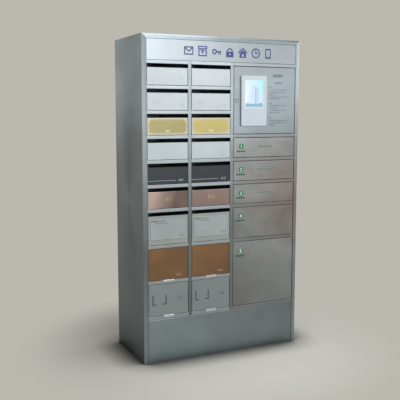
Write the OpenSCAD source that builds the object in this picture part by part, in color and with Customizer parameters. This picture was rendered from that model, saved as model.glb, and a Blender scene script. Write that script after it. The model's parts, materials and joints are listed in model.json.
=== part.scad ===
// Smart mailbox cabinet: two columns of letter doors, one column of parcel doors, and a control door.
// Sizes are millimetres. X runs to the right, Y to the back and Z up.
// The origin is on the floor, under the middle of the carcass.

/* [Front layout] */
// Width of the bevelled surround at the sides and the top
surround_w = 28; // [24:1:45]
// Height of the header panel
header_h = 120; // [80:5:200]
// Clear width of a letter opening
letter_w = 260; // [220:5:340]
// Clear width of a parcel opening
parcel_w = 440; // [400:5:600]
// Width of the upright tubes between the columns
mullion_w = 22; // [20:1:40]
// Height of the cross tubes between the rows
rail_h = 20; // [14:1:40]
// Clear height of a low opening
low_h = 124; // [112:2:180]
// Clear height of a tall opening
tall_h = 196; // [160:4:320]
// Height of the plinth below the lowest cross tube
plinth_h = 270; // [120:10:400]

/* [Carcass] */
// Depth of the carcass from the surround to the rear returns
cabinet_d = 480; // [420:10:600]
// Thickness of the side, top and surround sheet
panel_t = 1.5; // [1:0.1:2.5]
// Thickness of the shelves and partitions
shelf_t = 1.2; // [0.8:0.1:2]
// Thickness of the back sheet
back_t = 1.2; // [0.8:0.1:2]
// Thickness of the base tray
tray_t = 2; // [1.5:0.1:4]
// Height of the tray's upturned edges
tray_edge = 30; // [15:1:60]
// Width of the rear strips on the sides and of the top's rear return
return_w = 20; // [14:1:35]
// Width of the rear returns on the partitions
partition_return = 15; // [10:1:22]
// Width of the surround's slanted face
bevel_w = 12; // [6:1:18]
// Depth of the surround's slanted face
bevel_d = 9; // [5:1:14]
// Depth of the tubes behind the front
tube_d = 25; // [20:1:40]
// Wall of the tubes
tube_t = 1.5; // [1:0.1:2.5]
// Step from the surround's face back to the tubes' face
grid_set = 2; // [0.5:0.5:5]

/* [Doors] */
// Gap round each door
door_gap = 2.6; // [1.5:0.1:3]
// Sheet of the doors
door_t = 1.2; // [0.8:0.1:1.6]
// Depth of a door's folded edge
door_depth = 12; // [10:0.5:15]
// Width of the lip folded in behind the edge
door_lip = 6; // [4:0.5:8]
// Step from the tubes' face back to the doors' face
door_set = 0.5; // [0:0.1:2]
// Diameter of the pivot rods
pivot_dia = 5; // [4:0.5:6]
// Radial clearance of a pivot rod in its hole
pivot_clear = 0.05; // [0.02:0.01:0.1]
// Length of a pivot rod beyond the gap
pivot_reach = 3.5; // [2.5:0.5:5]
// Diameter of the washer that carries a door
washer_dia = 9; // [8:0.5:12]
// Width of the stiffener on the parcel doors
rib_w = 40; // [20:2:80]
// Height of the stiffener on the parcel doors
rib_d = 8; // [5:0.5:9]

/* [Door faces] */
// Thickness of the rounded inlay on the third row
inlay_t = 0.8; // [0.5:0.1:1.5]
// Border left round the inlay
inlay_border = 9; // [3:0.5:12]
// Corner radius of the inlay
inlay_r = 27; // [8:1:34]
// Thickness of the raised plate on the seventh row
plate_t = 1.2; // [0.8:0.1:2]
// Border left above and beside the raised plate
plate_border = 13; // [8:1:25]
// Border left below the raised plate
plate_foot = 26; // [8:1:40]
// Width of a pull tab
tab_w = 70; // [40:2:110]
// Height of a pull tab in front of the cross tube
tab_h = 12; // [8:0.5:13]
// Thickness of a pull tab
tab_t = 1.2; // [0.8:0.1:1.4]

/* [Letter slots] */
// Height of a letter slot
slot_h = 20; // [14:1:30]
// Wall of the slot guard
guard_t = 1.5; // [1:0.1:2.5]
// Depth of the slot guard
guard_d = 40; // [28:1:60]
// Step from the tubes' face back to the guard's face
guard_set = 1.5; // [0.5:0.5:2]
// Drop of the chute behind the guard
chute_drop = 14; // [6:1:18]

/* [Electric locks] */
// Wall of a lock case beside its mouth
lock_wall = 4; // [2:0.5:8]
// Depth of a lock case
lock_d = 56; // [40:1:80]
// Height of a lock case
lock_h = 52; // [36:1:60]
// Width of the mouth that takes the striker
mouth_w = 9; // [8:0.5:11]
// Height of the mouth
mouth_h = 20; // [18:1:26]
// Depth of the mouth
mouth_d = 26; // [22:1:34]
// Thickness of a striker
striker_t = 3; // [2:0.2:3.4]
// Height of a striker
striker_h = 16; // [10:1:17]
// Distance of the striker's middle from the door's free edge
striker_in = 7; // [5:0.5:8]
// Length of the striker inside the mouth
striker_bite = 18; // [12:1:21]

/* [Control door] */
// Width of the screen housing
screen_w = 178; // [150:2:200]
// Height of the screen housing
screen_h = 305; // [250:5:330]
// How far the screen housing stands out from the door
screen_out = 14; // [8:1:25]
// Corner radius of the screen housing
screen_r = 10; // [4:1:16]
// Distance from the door's free edge to the housing
screen_in = 44; // [36:2:60]
// Distance from the door's top to the housing
screen_drop = 54; // [20:2:60]
// Width of the display
display_w = 128; // [100:2:140]
// Height of the display
display_h = 170; // [130:2:200]
// Thickness of the display
display_t = 1.5; // [1:0.1:3]
// Distance from the housing's top to the display
display_drop = 26; // [14:1:40]
// Depth of the terminal body behind the door
terminal_d = 45; // [25:1:70]
// Distance of the terminal body inside the housing's outline
terminal_border = 14; // [8:1:24]
// Distance of the key lock from the door's free edge
key_in = 20; // [15:1:24]
// Distance of the key lock below the opening's top
key_drop = 208; // [80:4:260]
// Diameter of the key lock's threaded barrel
barrel_dia = 18; // [16:0.5:20]
// Diameter of the key lock's collar
collar_dia = 23; // [21:0.5:26]
// Thickness of the key lock's collar
collar_t = 2.5; // [1.5:0.5:4]
// Diameter of the turning plug
plug_dia = 12; // [10:0.5:13]
// Radial clearance of the plug in the barrel
plug_clear = 0.05; // [0.02:0.01:0.1]
// Width of the locking cam
cam_w = 14; // [12:1:18]
// Thickness of the locking cam
cam_t = 2; // [1.5:0.1:3]

/* [Inside and back] */
// Width of the controller box
controller_w = 180; // [120:5:190]
// Height of the controller box
controller_h = 140; // [90:5:160]
// Depth of the controller box
controller_d = 45; // [25:1:80]
// Width of the power supply
supply_w = 160; // [100:5:170]
// Height of the power supply
supply_h = 98; // [70:2:130]
// Depth of the power supply
supply_d = 38; // [25:1:60]
// Bore of the cable grommet
grommet_bore = 18; // [10:1:24]
// Hole that the cable grommet sits in
grommet_hole = 30; // [28:1:36]
// Diameter of the grommet's flanges
grommet_dia = 40; // [38:1:50]
// Diameter of the wall fixing holes
wall_hole = 9; // [6:0.5:12]
// Diameter of the floor anchor holes
anchor_hole = 12; // [8:0.5:16]
// Distance of the floor anchor holes from the sides
anchor_in_x = 80; // [50:5:150]
// Distance of the floor anchor holes from the front and back
anchor_in_y = 70; // [50:5:120]
// Length of a ventilation slot
vent_w = 60; // [30:5:90]
// Height of a ventilation slot
vent_h = 4; // [3:0.5:6]
// Step from one ventilation slot to the next
vent_step = 11; // [9:0.5:16]
// Diameter of the screw heads on the back
screw_dia = 8; // [6:0.5:10]
// Diameter of the indicator lenses
lens_dia = 5; // [3:0.5:8]

/* [Hidden] */
$fn = 48;
eps = 0.01;

low_rows = 6;
tall_rows = 3;
slot_rows = 7;
rows = low_rows + tall_rows;
row_list = [1 : rows];
sides = [0, 1];
side_name = ["left", "right"];
control_rows = 3;
// Each parcel door fills the height of these rows, first and last.
parcel_span = [[4, 4], [5, 5], [6, 6], [7, 7], [8, 9]];
parcel_list = [0 : len(parcel_span) - 1];
// A parcel-column tube lies under each of these rows, and 0 is the one under the header.
parcel_rail_rows = concat([0, control_rows], [for (span = parcel_span) span[1]]);
tab_rows = [8, 9];
lens_rows = [6, 7];

cabinet_w = 2 * surround_w + 2 * letter_w + 2 * mullion_w + parcel_w;
cabinet_h = surround_w + header_h + rail_h + low_rows * (low_h + rail_h) + tall_rows * (tall_h + rail_h)
    + plinth_h;
front_y = -cabinet_d / 2;
back_y = cabinet_d / 2;
face_y = front_y + grid_set;
tube_back = face_y + tube_d;
door_y = face_y + door_set;
back_in = back_y - panel_t - back_t;
shelf_back = back_in - shelf_t;
inner_x = cabinet_w / 2 - panel_t;
jamb_x = cabinet_w / 2 - surround_w;
jamb_d = grid_set + tube_d;
grid_top = cabinet_h - surround_w - header_h;

// A door's corner must swing past its jamb, so the pivot stands in from the edge by this much.
swing_clear = 0.6;
swing_gap = door_gap - swing_clear;
pivot_in = (pow(door_depth / 2, 2) - pow(swing_gap, 2)) / (2 * swing_gap);
pivot_y = door_y + door_depth / 2;
pivot_r = pivot_dia / 2;
lug_wall = 4;
lug_w = door_gap + pivot_in + pivot_r + lug_wall;
lug_d = pivot_y - face_y - guard_set + pivot_r + lug_wall;
washer_gap = 0.2;
rod_end_gap = 1;

seam = 0.6;
pan_d = 15;
mitre_seam = 0.2;
mouth_center = mullion_w / 2 - shelf_t / 2 + door_gap + striker_in;
lock_w = mouth_center + mouth_w / 2 + lock_wall;
screw_head = 1.3;
screw_step = 200;
lens_t = 0.8;
tab_gap = 0.4;
cam_gap = 0.5;
cam_tip_gap = 2;
axial_gap = 0.2;
barrel_gap = 0.1;
window_gap = 1;
nut_t = 5;
nut_af = 24;
grommet_lip = 1.3;
grommet_inner = 3;
foot_t = 2;
foot_reach = 10;
controller_gap = 20;
controller_drop = 70;
supply_gap = 40;
supply_rise = 30;
grommet_gap = 60;
grommet_drop = 90;
vent_count = 8;

STEEL = "#b4b8b8";
DARK_STEEL = "#6e7674";
BLACK = "#15161a";
row_color = [
    "#e3eaee", "#d6dde1", "#dccf9f", "#cfd8dc", "#43474e", "#b08f86", "#c3c9cb", "#86602f", "#8f9999"
];

function opening_h(row) = row <= low_rows ? low_h : tall_h;
function row_top(row) = row == 1 ? grid_top - rail_h : row_bottom(row - 1) - rail_h;
function row_bottom(row) = row_top(row) - opening_h(row);
function rail_z(row) = row == 0 ? row_top(1) : row_bottom(row) - rail_h;
function shelf_z(row) = rail_z(row) + rail_h - shelf_t;
function column_x(column) = -jamb_x + column * (letter_w + mullion_w);
function partition_x(side) = column_x(side) + letter_w + mullion_w / 2;
function left_wall(side) = side == 0 ? -inner_x : partition_x(side - 1) + shelf_t / 2;
function right_wall(side) = side == 2 ? inner_x : partition_x(side) - shelf_t / 2;
function guard_h(row) = row <= slot_rows ? slot_h : 0;
function letter_door_h(row) = opening_h(row) - guard_h(row) - 2 * door_gap;
function letter_pivot_x(side) = column_x(side) + door_gap + pivot_in;
function parcel_right() = column_x(2) + parcel_w;
function parcel_bottom(index) = row_bottom(parcel_span[index][1]);
function parcel_door_h(index) = row_top(parcel_span[index][0]) - parcel_bottom(index) - 2 * door_gap;
function lock_z(bottom, height) = bottom + door_gap + height / 2;
function letter_name(row, side) = str("letter_door_", row, "_", side_name[side]);
function inlay_name(side) = str("inlay_3_", side_name[side]);
function plate_name(side) = str("raised_plate_7_", side_name[side]);
function tab_name(row, side) = str("pull_tab_", row, "_", side_name[side]);
function parcel_name(index) = str("parcel_door_", index + 1);

control_bottom = row_bottom(control_rows);
control_h = row_top(1) - control_bottom - 2 * door_gap;
parcel_door_w = parcel_w - 2 * door_gap;
letter_door_w = letter_w - 2 * door_gap;
screen_x = column_x(2) + door_gap + screen_in;
screen_z = row_top(1) - door_gap - screen_drop - screen_h;
display_x = screen_x + screen_w / 2 - display_w / 2;
display_z = screen_z + screen_h - display_drop - display_h;
key_x = column_x(2) + door_gap + key_in;
key_z = row_top(1) - key_drop;
cam_y = tube_back + cam_gap;
cam_len = key_x - partition_x(1) - shelf_t / 2 - cam_tip_gap;
wall_hole_x = [column_x(0) + letter_w / 2, column_x(2) + parcel_w / 2];
wall_hole_z = [row_bottom(rows) + tall_h / 2, row_bottom(2) + low_h / 2];
grommet_x = inner_x - grommet_gap;
grommet_z = row_top(1) - grommet_drop;
controller_x = left_wall(2) + controller_gap;
controller_z = row_top(1) - controller_drop - controller_h;
supply_x = inner_x - supply_gap - supply_w;
supply_z = control_bottom + supply_rise;
vent_x = column_x(2) + parcel_w / 2;
vent_z = control_bottom + supply_rise;

// A box between two corners.
module span(low, high) {
    translate(low)
        cube(high - low);
}

// A rectangle with round corners, from its lower left corner.
module rounded(w, h, r) {
    translate([r, 0])
        square([w - 2 * r, h]);
    translate([0, r])
        square([w, h - 2 * r]);
    for (x = [r, w - r])
        for (y = [r, h - r])
            translate([x, y])
                circle(r);
}

// Stands a flat XY outline upright, with its thickness running to the back.
module upright(depth) {
    translate([0, depth, 0])
        rotate([90, 0, 0])
            linear_extrude(depth)
                children();
}

module side_sheet() {
    span([-cabinet_w / 2, front_y + bevel_d, 0], [-inner_x, back_y, cabinet_h - panel_t]);
}

module left_side_panel() {
    color(DARK_STEEL)
        side_sheet();
}

module right_side_panel() {
    color(DARK_STEEL)
        mirror([1, 0, 0])
            side_sheet();
}

// Upright strips welded inside the back edges of the side panels. The back sheet lies on them.
module back_strips() {
    color(DARK_STEEL)
        for (side = [0, 1])
            mirror([side, 0, 0])
                span([-inner_x, back_y - panel_t, 0],
                    [-cabinet_w / 2 + return_w, back_y, cabinet_h - panel_t]);
}

module top_panel() {
    color(STEEL) {
        span([-cabinet_w / 2, front_y + bevel_d, cabinet_h - panel_t], [cabinet_w / 2, back_y, cabinet_h]);
        span([-cabinet_w / 2 + return_w, back_y - panel_t, cabinet_h - return_w],
            [cabinet_w / 2 - return_w, back_y, cabinet_h]);
    }
}

// The back sheet, with wall fixing holes, the cable hole and ventilation slots for the electronics.
module back_panel() {
    color(DARK_STEEL)
        difference() {
            span([-inner_x, back_in, tray_t], [inner_x, back_in + back_t, cabinet_h - panel_t]);
            for (x = wall_hole_x)
                for (z = wall_hole_z)
                    bore_y(x, back_in, z, wall_hole, back_t);
            bore_y(grommet_x, back_in, grommet_z, grommet_hole, back_t);
            for (index = [0 : vent_count - 1])
                translate([vent_x - vent_w / 2, back_in - eps, vent_z + index * vent_step])
                    upright(back_t + 2 * eps)
                        rounded(vent_w, vent_h, vent_h / 2 - eps);
        }
}

// A round hole along Y through a sheet.
module bore_y(x, y, z, dia, depth) {
    translate([x, y - eps, z])
        rotate([-90, 0, 0])
            cylinder(d = dia, h = depth + 2 * eps);
}

// The tray that closes the plinth at the floor, with upturned edges and floor anchor holes.
module base_tray() {
    color(DARK_STEEL)
        difference() {
            union() {
                span([-jamb_x, front_y + grid_set / 2, 0], [jamb_x, back_in, tray_t]);
                span([-inner_x, front_y + jamb_d, 0], [inner_x, back_in + back_t, tray_t]);
                span([-inner_x, front_y + jamb_d, 0], [-inner_x + tray_t, back_in, tray_edge]);
                span([inner_x - tray_t, front_y + jamb_d, 0], [inner_x, back_in, tray_edge]);
                span([-inner_x, back_in - tray_t, 0], [inner_x, back_in, tray_edge]);
            }
            for (x = [-1, 1])
                for (y = [-1, 1])
                    translate([x * (cabinet_w / 2 - anchor_in_x), y * (cabinet_d / 2 - anchor_in_y), -eps])
                        cylinder(d = anchor_hole, h = tray_t + 2 * eps);
        }
}

// The folded outline of the surround, measured in from the outer face and back from the front.
module surround_profile() {
    slant = norm([bevel_w, bevel_d]);
    leg = 2 * panel_t;
    fold_u = bevel_w + panel_t * (slant - bevel_w) / bevel_d;
    fold_v = (panel_t * slant - (leg - bevel_w) * bevel_d) / bevel_w;
    polygon([
        [0, bevel_d], [bevel_w, 0], [surround_w, 0], [surround_w, jamb_d], [surround_w - panel_t, jamb_d],
        [surround_w - panel_t, panel_t], [fold_u, panel_t], [leg, fold_v], [leg, jamb_d],
        [panel_t, jamb_d], [panel_t, bevel_d]
    ]);
}

// A block with one face just off the left mitre line. It fills the side above the line, or below it.
module mitre_block(above) {
    reach = 3 * surround_w;
    translate([-cabinet_w / 2, front_y - reach, cabinet_h])
        rotate([0, 45, 0])
            translate([-reach, 0, above ? -mitre_seam / 2 : mitre_seam / 2 - reach])
                cube([2 * reach, 3 * reach, reach]);
}

module surround_upright() {
    difference() {
        translate([-cabinet_w / 2, front_y, 0])
            linear_extrude(cabinet_h)
                surround_profile();
        mitre_block(true);
    }
}

// Three folded members with mitred top corners.
module surround() {
    color(STEEL) {
        surround_upright();
        mirror([1, 0, 0])
            surround_upright();
        difference() {
            translate([-cabinet_w / 2, front_y, cabinet_h])
                rotate([0, 90, 0])
                    linear_extrude(cabinet_w)
                        surround_profile();
            mitre_block(false);
            mirror([1, 0, 0])
                mitre_block(false);
        }
    }
}

// Upright tubes between the columns, open at both ends.
module mullions() {
    color(STEEL)
        for (side = sides)
            difference() {
                span([column_x(side) + letter_w, face_y, plinth_h],
                    [column_x(side) + letter_w + mullion_w, tube_back, grid_top]);
                span([column_x(side) + letter_w + tube_t, face_y + tube_t, plinth_h - eps],
                    [column_x(side) + letter_w + mullion_w - tube_t, tube_back - tube_t, grid_top + eps]);
            }
}

// A cross tube under one row. A pivot hole in its top wall serves the door above, and one in its
// bottom wall the door below.
module rail(x, w, row, pivot_x, above, below) {
    difference() {
        span([x, face_y, rail_z(row)], [x + w, tube_back, rail_z(row) + rail_h]);
        span([x - eps, face_y + tube_t, rail_z(row) + tube_t],
            [x + w + eps, tube_back - tube_t, rail_z(row) + rail_h - tube_t]);
        if (above)
            pivot_hole(pivot_x, rail_z(row) + rail_h - tube_t, tube_t);
        if (below)
            pivot_hole(pivot_x, rail_z(row), tube_t);
    }
}

module pivot_hole(x, z, depth) {
    translate([x, pivot_y, z - eps])
        cylinder(r = pivot_r + pivot_clear, h = depth + 2 * eps);
}

module letter_rails() {
    color(STEEL)
        for (row = [0 : rows])
            for (side = sides)
                rail(column_x(side), letter_w, row, letter_pivot_x(side), row > 0,
                    row >= slot_rows && row < rows);
}

module parcel_rails() {
    color(STEEL)
        for (row = parcel_rail_rows)
            rail(column_x(2), parcel_w, row, parcel_right() - door_gap - pivot_in, row > 0, row < rows);
}

// Upright sheets behind the mullions, each with a return for the back screws.
module partitions() {
    color(DARK_STEEL)
        for (side = sides) {
            x = partition_x(side) - shelf_t / 2;
            span([x, tube_back, plinth_h], [x + shelf_t, back_in, grid_top]);
            span([x, shelf_back, plinth_h], [x + partition_return, back_in, grid_top]);
        }
}

module shelf(column, row) {
    span([left_wall(column), tube_back, shelf_z(row)],
        [right_wall(column), shelf_back, shelf_z(row) + shelf_t]);
}

module letter_shelves() {
    color(DARK_STEEL)
        for (row = [0 : rows])
            for (side = sides)
                shelf(side, row);
}

module parcel_shelves() {
    color(DARK_STEEL)
        for (row = parcel_rail_rows)
            shelf(2, row);
}

// A sheet pan with folded edges and lips, open at the back, from its lower left front corner.
module pan(w, h, depth) {
    difference() {
        cube([w, depth, h]);
        span([door_t, door_t, door_t], [w - door_t, depth - door_t, h - door_t]);
        span([door_lip, depth / 2, door_lip], [w - door_lip, depth + eps, h - door_lip]);
    }
}

module header_panel() {
    color(STEEL)
        translate([-jamb_x + seam, face_y, grid_top + seam])
            pan(2 * jamb_x - 2 * seam, header_h - 2 * seam, pan_d);
}

module plinth_panel() {
    color(STEEL)
        translate([-jamb_x + seam, face_y, tray_t])
            pan(2 * jamb_x - 2 * seam, plinth_h - tray_t - seam, pan_d);
}

// A moulded guard: a frame that lines the slot, a sloping chute behind it, and a lug for the top pivot.
module slot_guard(row, side) {
    turn = sqrt(2) - 1;
    tip = guard_t / sqrt(2);
    depth = guard_d + chute_drop;
    translate([column_x(side), face_y + guard_set, row_top(row) - slot_h])
        difference() {
            union() {
                difference() {
                    cube([letter_w, guard_d, slot_h]);
                    span([guard_t, -eps, guard_t], [letter_w - guard_t, guard_d + eps, slot_h - guard_t]);
                }
                rotate([90, 0, 90])
                    linear_extrude(letter_w)
                        polygon([
                            [0, 0], [guard_d, 0], [depth, -chute_drop], [depth + tip, -chute_drop + tip],
                            [guard_d + guard_t * turn, guard_t], [0, guard_t]
                        ]);
                cube([lug_w, lug_d, slot_h]);
            }
            translate([door_gap + pivot_in, pivot_y - face_y - guard_set, -eps])
                cylinder(r = pivot_r + pivot_clear, h = pivot_reach + rod_end_gap);
        }
}

module slot_guards() {
    color(BLACK)
        for (row = [1 : slot_rows])
            for (side = sides)
                slot_guard(row, side);
}

// A closed lock case with a mouth in its front face, on the left side of a partition.
// Its front sits against the mullion, and a foot behind it lies on the partition.
module lock_case() {
    difference() {
        union() {
            span([-lock_w, 0, -lock_h / 2], [0, lock_d, lock_h / 2]);
            span([-foot_t, lock_d, -lock_h / 4], [0, lock_d + foot_reach, lock_h / 4]);
        }
        span([-mouth_center - mouth_w / 2, -eps, -mouth_h / 2],
            [-mouth_center + mouth_w / 2, mouth_d, mouth_h / 2]);
    }
}

module electric_locks() {
    color("#3a3f45") {
        for (row = row_list)
            for (side = sides)
                translate([right_wall(side), tube_back, lock_z(row_bottom(row), letter_door_h(row))])
                    lock_case();
        for (index = parcel_list)
            translate([left_wall(2), tube_back, lock_z(parcel_bottom(index), parcel_door_h(index))])
                mirror([1, 0, 0])
                    lock_case();
    }
}

module indicator_lenses() {
    color("#20262a")
        for (row = lens_rows)
            for (side = sides)
                translate([column_x(side) + letter_w / 2, face_y, rail_z(row) + rail_h / 2])
                    rotate([90, 0, 0])
                        cylinder(d1 = lens_dia, d2 = lens_dia - lens_t, h = lens_t);
}

// A vented metal box with a terminal strip below it.
module controller_box() {
    strip_h = 12;
    strip_d = 16;
    slits = 6;
    slit_w = 4;
    slit_d = 3;
    slit_h = controller_h / 3;
    translate([controller_x, back_in - controller_d, controller_z])
        color("#d9dcda")
            difference() {
                union() {
                    cube([controller_w, controller_d, controller_h]);
                    translate([strip_h, controller_d - strip_d, -strip_h])
                        cube([controller_w - 2 * strip_h, strip_d, strip_h]);
                }
                for (index = [1 : slits])
                    translate([controller_w * index / (slits + 1) - slit_w / 2, -eps, controller_h / 2])
                        cube([slit_w, slit_d, slit_h]);
            }
}

// A folded metal case with an open terminal end.
module power_supply() {
    ledge_w = 18;
    ledge_d = supply_d / 2;
    translate([supply_x, back_in - supply_d, supply_z])
        color("#b9bdbb")
            difference() {
                cube([supply_w, supply_d, supply_h]);
                translate([-eps, -eps, door_t])
                    cube([ledge_w, ledge_d, supply_h - 2 * door_t]);
            }
}

module cable_grommet() {
    color(BLACK)
        translate([grommet_x, back_in - grommet_inner, grommet_z])
            rotate([-90, 0, 0])
                rotate_extrude()
                    difference() {
                        square([grommet_dia / 2, grommet_inner + back_t + grommet_lip]);
                        translate([-eps, -eps])
                            square([grommet_bore / 2 + eps, grommet_inner + back_t + grommet_lip + 2 * eps]);
                        translate([grommet_hole / 2, grommet_inner])
                            square([grommet_dia, back_t]);
                    }
}

// Low screw heads that hold the back sheet to the partitions.
module back_screws() {
    color(STEEL)
        for (side = sides)
            for (z = [plinth_h + screw_step / 2 : screw_step : grid_top - screw_step / 4])
                translate([partition_x(side) + partition_return / 2, back_in + back_t, z])
                    rotate([-90, 0, 0])
                        cylinder(d1 = screw_dia, d2 = screw_dia - 2 * screw_head, h = screw_head);
}

// A door with its pivot rod and the washer that carries it, from its lower hinge corner.
module door_leaf(w, h) {
    pan(w, h, door_depth);
    translate([pivot_in, door_depth / 2, -door_gap - pivot_reach])
        cylinder(r = pivot_r, h = h + 2 * (door_gap + pivot_reach));
    translate([pivot_in, door_depth / 2, -door_gap + washer_gap])
        cylinder(d = washer_dia, h = door_gap - washer_gap + eps);
}

// The pierced tongue on a door that the lock catches.
module striker(w, h) {
    tip_y = tube_back - door_y + striker_bite;
    difference() {
        span([w - striker_in - striker_t / 2, door_t / 2, h / 2 - striker_h / 2],
            [w - striker_in + striker_t / 2, tip_y, h / 2 + striker_h / 2]);
        span([w - striker_in - striker_t, tip_y - striker_bite * 2 / 3, h / 2 - striker_h / 4],
            [w - striker_in + striker_t, tip_y - striker_bite / 4, h / 2 + striker_h / 4]);
    }
}

// A folded stiffener on the back of a wide door.
module rib(w, h) {
    difference() {
        span([w / 2 - rib_w / 2, door_t / 2, 2 * door_lip],
            [w / 2 + rib_w / 2, door_t + rib_d, h - 2 * door_lip]);
        span([w / 2 - rib_w / 2 + door_t, door_t, door_lip],
            [w / 2 + rib_w / 2 - door_t, rib_d, h - door_lip]);
    }
}

module letter_door(row, side) {
    color(row_color[row - 1])
        translate([column_x(side) + door_gap, door_y, row_bottom(row) + door_gap]) {
            door_leaf(letter_door_w, letter_door_h(row));
            striker(letter_door_w, letter_door_h(row));
        }
}

// A rounded face on a letter door, with a border above and beside it and a foot below it.
module door_face(row, side, thickness, border, foot, r) {
    translate([column_x(side) + door_gap + border, door_y - thickness, row_bottom(row) + door_gap + foot])
        upright(thickness)
            rounded(letter_door_w - 2 * border, letter_door_h(row) - border - foot, r);
}

module inlay(side) {
    color(side == 0 ? "#b0a264" : "#c8b46e")
        door_face(3, side, inlay_t, inlay_border, inlay_border, inlay_r);
}

module raised_plate(side) {
    color("#d5dbdd")
        door_face(7, side, plate_t, plate_border, plate_foot, plate_t);
}

// A bent lip that hooks under a door and hangs in front of the cross tube.
module pull_tab(row, side) {
    x = column_x(side) + letter_w / 2 - tab_w / 2;
    z = row_bottom(row) + door_gap;
    hang_y = face_y - tab_gap;
    color("#dfe9ee") {
        span([x, hang_y - tab_t, z - tab_t], [x + tab_w, door_y + door_depth, z]);
        span([x, hang_y - tab_t, z - door_gap - tab_h], [x + tab_w, hang_y, z]);
    }
}

module parcel_door(index) {
    color(STEEL)
        translate([parcel_right() - door_gap, door_y, parcel_bottom(index) + door_gap])
            mirror([1, 0, 0]) {
                door_leaf(parcel_door_w, parcel_door_h(index));
                striker(parcel_door_w, parcel_door_h(index));
                rib(parcel_door_w, parcel_door_h(index));
            }
}

module control_door() {
    window_border = terminal_border - window_gap;
    color(STEEL)
        difference() {
            translate([parcel_right() - door_gap, door_y, control_bottom + door_gap])
                mirror([1, 0, 0])
                    door_leaf(parcel_door_w, control_h);
            bore_y(key_x, door_y, key_z, barrel_dia + 2 * barrel_gap, door_t);
            translate([screen_x + window_border, door_y - eps, screen_z + window_border])
                cube([screen_w - 2 * window_border, door_t + 2 * eps, screen_h - 2 * window_border]);
        }
}

// The moulded front of the terminal, with softened edges and a recess for the display.
module screen_housing() {
    soft = 3;
    color("#eef2f4")
        difference() {
            translate([screen_x, door_y - screen_out, screen_z])
                hull() {
                    translate([0, soft, 0])
                        upright(screen_out - soft)
                            rounded(screen_w, screen_h, screen_r, $fn = 32);
                    translate([soft, 0, soft])
                        upright(soft)
                            rounded(screen_w - 2 * soft, screen_h - 2 * soft, screen_r - soft / 2, $fn = 32);
                }
            translate([display_x, door_y - screen_out - eps, display_z])
                cube([display_w, display_t + eps, display_h]);
        }
}

module display_panel() {
    color("#9fdbe6")
        translate([display_x, door_y - screen_out, display_z])
            cube([display_w, display_t, display_h]);
}

module terminal_body() {
    color("#2a2d30")
        translate([screen_x + terminal_border, door_y, screen_z + terminal_border])
            cube([screen_w - 2 * terminal_border, terminal_d, screen_h - 2 * terminal_border]);
}

// The fixed part of the key lock: collar, threaded barrel and nut.
module key_barrel() {
    length = cam_y - axial_gap - door_y;
    color("#cfd3d4")
        translate([key_x, door_y, key_z])
            difference() {
                union() {
                    translate([0, -collar_t, 0])
                        rotate([-90, 0, 0])
                            cylinder(d1 = collar_dia - collar_t, d2 = collar_dia, h = collar_t);
                    rotate([-90, 0, 0])
                        cylinder(d = barrel_dia, h = length);
                    translate([0, door_t, 0])
                        rotate([-90, 0, 0])
                            cylinder(d = nut_af / cos(30), h = nut_t, $fn = 6);
                }
                translate([0, -collar_t - eps, 0])
                    rotate([-90, 0, 0])
                        cylinder(r = plug_dia / 2 + plug_clear, h = length + collar_t + 2 * eps);
            }
}

// The turning part of the key lock: plug, cam and screw. The cam hangs down when it is unlocked.
module key_plug() {
    length = cam_y - door_y;
    keyway_w = 1.6;
    keyway_h = 8;
    keyway_d = 6;
    screw_h = 3;
    color("#e4e6e6")
        translate([key_x, door_y, key_z])
            difference() {
                union() {
                    translate([0, -collar_t, 0])
                        rotate([-90, 0, 0])
                            cylinder(d = plug_dia, h = length + collar_t);
                    translate([0, length, 0])
                        upright(cam_t)
                            translate([-cam_w / 2, -cam_len])
                                rounded(cam_w, cam_len + cam_w / 2, cam_w / 3);
                    translate([0, length + cam_t, 0])
                        rotate([-90, 0, 0])
                            cylinder(d = plug_dia - cam_t, h = screw_h, $fn = 6);
                }
                span([-keyway_w / 2, -collar_t - eps, -keyway_h / 2],
                    [keyway_w / 2, keyway_d - collar_t, keyway_h / 2]);
            }
}

left_side_panel();
right_side_panel();
back_strips();
top_panel();
back_panel();
base_tray();
surround();
mullions();
letter_rails();
parcel_rails();
partitions();
letter_shelves();
parcel_shelves();
header_panel();
plinth_panel();
slot_guards();
electric_locks();
indicator_lenses();
controller_box();
power_supply();
cable_grommet();
back_screws();
for (row = row_list)
    for (side = sides)
        letter_door(row, side);
for (side = sides) {
    inlay(side);
    raised_plate(side);
}
for (row = tab_rows)
    for (side = sides)
        pull_tab(row, side);
for (index = parcel_list)
    parcel_door(index);
control_door();
screen_housing();
display_panel();
terminal_body();
key_barrel();
key_plug();
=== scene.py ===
import bpy
import bmesh
import json
from math import cos, pi, radians, sin, sqrt
from mathutils import Matrix, Vector


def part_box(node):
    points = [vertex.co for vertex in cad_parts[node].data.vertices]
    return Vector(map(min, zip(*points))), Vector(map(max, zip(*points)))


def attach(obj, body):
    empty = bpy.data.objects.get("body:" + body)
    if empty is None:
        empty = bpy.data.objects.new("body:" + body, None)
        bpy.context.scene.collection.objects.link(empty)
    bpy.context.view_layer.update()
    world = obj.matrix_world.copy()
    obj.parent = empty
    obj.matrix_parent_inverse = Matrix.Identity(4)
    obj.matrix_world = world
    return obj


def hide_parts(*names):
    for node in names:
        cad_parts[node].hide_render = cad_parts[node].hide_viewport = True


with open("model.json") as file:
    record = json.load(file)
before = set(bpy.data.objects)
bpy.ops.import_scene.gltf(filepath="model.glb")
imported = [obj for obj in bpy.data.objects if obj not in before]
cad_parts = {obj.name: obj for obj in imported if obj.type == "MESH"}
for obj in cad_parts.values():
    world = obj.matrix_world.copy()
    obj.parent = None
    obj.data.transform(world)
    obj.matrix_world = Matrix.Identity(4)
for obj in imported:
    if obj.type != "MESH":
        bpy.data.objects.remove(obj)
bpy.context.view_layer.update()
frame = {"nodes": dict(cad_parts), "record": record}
record = frame["record"]
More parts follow.
